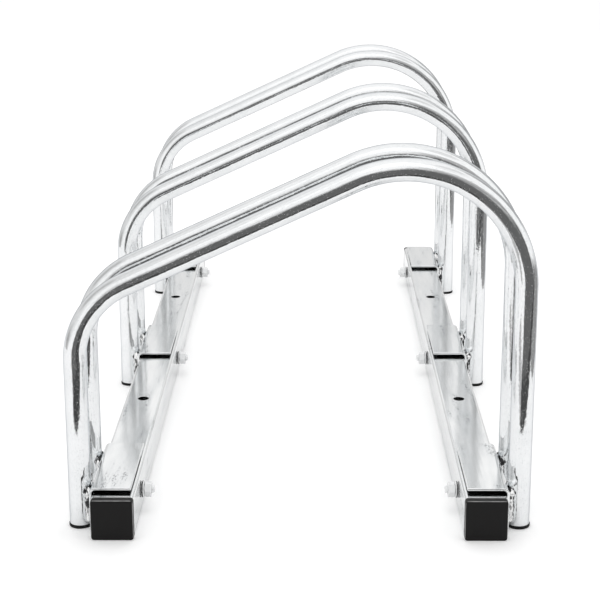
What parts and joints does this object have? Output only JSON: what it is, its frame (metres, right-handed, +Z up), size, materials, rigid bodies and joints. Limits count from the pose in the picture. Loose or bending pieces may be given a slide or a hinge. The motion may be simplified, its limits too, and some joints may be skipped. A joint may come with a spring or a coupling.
{
  "type": "hoop bike rack",
  "caption": "Floor-standing bicycle rack: parallel square rails carry pairs of bent tube hoops on angle brackets, and a wheel stands between the hoops of a pair.",
  "frame": {"origin": "on the ground in the middle of the rack: centre of the bounding box, at its lowest face", "axes": "+Y along the rails, +X across the rack towards the high side of the hoops, +Z up"},
  "size_m": [0.3282, 0.705, 0.2658],
  "materials": {
    "bright_zinc_tube": "bright zinc plate, nearly mirror smooth",
    "satin_zinc_steel": "satin zinc plate with soft grey smudges",
    "zinc_fastener": "zinc plate, semi-bright",
    "black_plastic": "fine moulded grain"
  },
  "bodies": {
    "root": {"rail_low": "satin_zinc_steel", "rail_high": "satin_zinc_steel", "end_cap_low_front": "black_plastic", "end_cap_low_rear": "black_plastic", "end_cap_high_front": "black_plastic", "end_cap_high_rear": "black_plastic", "hoop_1_front": "bright_zinc_tube", "hoop_1_rear": "bright_zinc_tube", "hoop_2_front": "bright_zinc_tube", "hoop_2_rear": "bright_zinc_tube", "hoop_3_front": "bright_zinc_tube", "hoop_3_rear": "bright_zinc_tube", "foot_plug_1_front_low": "black_plastic", "foot_plug_1_front_high": "black_plastic", "foot_plug_1_rear_low": "black_plastic", "foot_plug_1_rear_high": "black_plastic", "foot_plug_2_front_low": "black_plastic", "foot_plug_2_front_high": "black_plastic", "foot_plug_2_rear_low": "black_plastic", "foot_plug_2_rear_high": "black_plastic", "foot_plug_3_front_low": "black_plastic", "foot_plug_3_front_high": "black_plastic", "foot_plug_3_rear_low": "black_plastic", "foot_plug_3_rear_high": "black_plastic", "bracket_1_low": "satin_zinc_steel", "bracket_1_high": "satin_zinc_steel", "bracket_2_low": "satin_zinc_steel", "bracket_2_high": "satin_zinc_steel", "bracket_3_low": "satin_zinc_steel", "bracket_3_high": "satin_zinc_steel", "bolt_1_low": "zinc_fastener", "bolt_1_high": "zinc_fastener", "bolt_2_low": "zinc_fastener", "bolt_2_high": "zinc_fastener", "bolt_3_low": "zinc_fastener", "bolt_3_high": "zinc_fastener", "washer_1_low": "zinc_fastener", "washer_1_high": "zinc_fastener", "washer_2_low": "zinc_fastener", "washer_2_high": "zinc_fastener", "washer_3_low": "zinc_fastener", "washer_3_high": "zinc_fastener", "nut_1_low": "zinc_fastener", "nut_1_high": "zinc_fastener", "nut_2_low": "zinc_fastener", "nut_2_high": "zinc_fastener", "nut_3_low": "zinc_fastener", "nut_3_high": "zinc_fastener"}
  },
  "joints": []
}
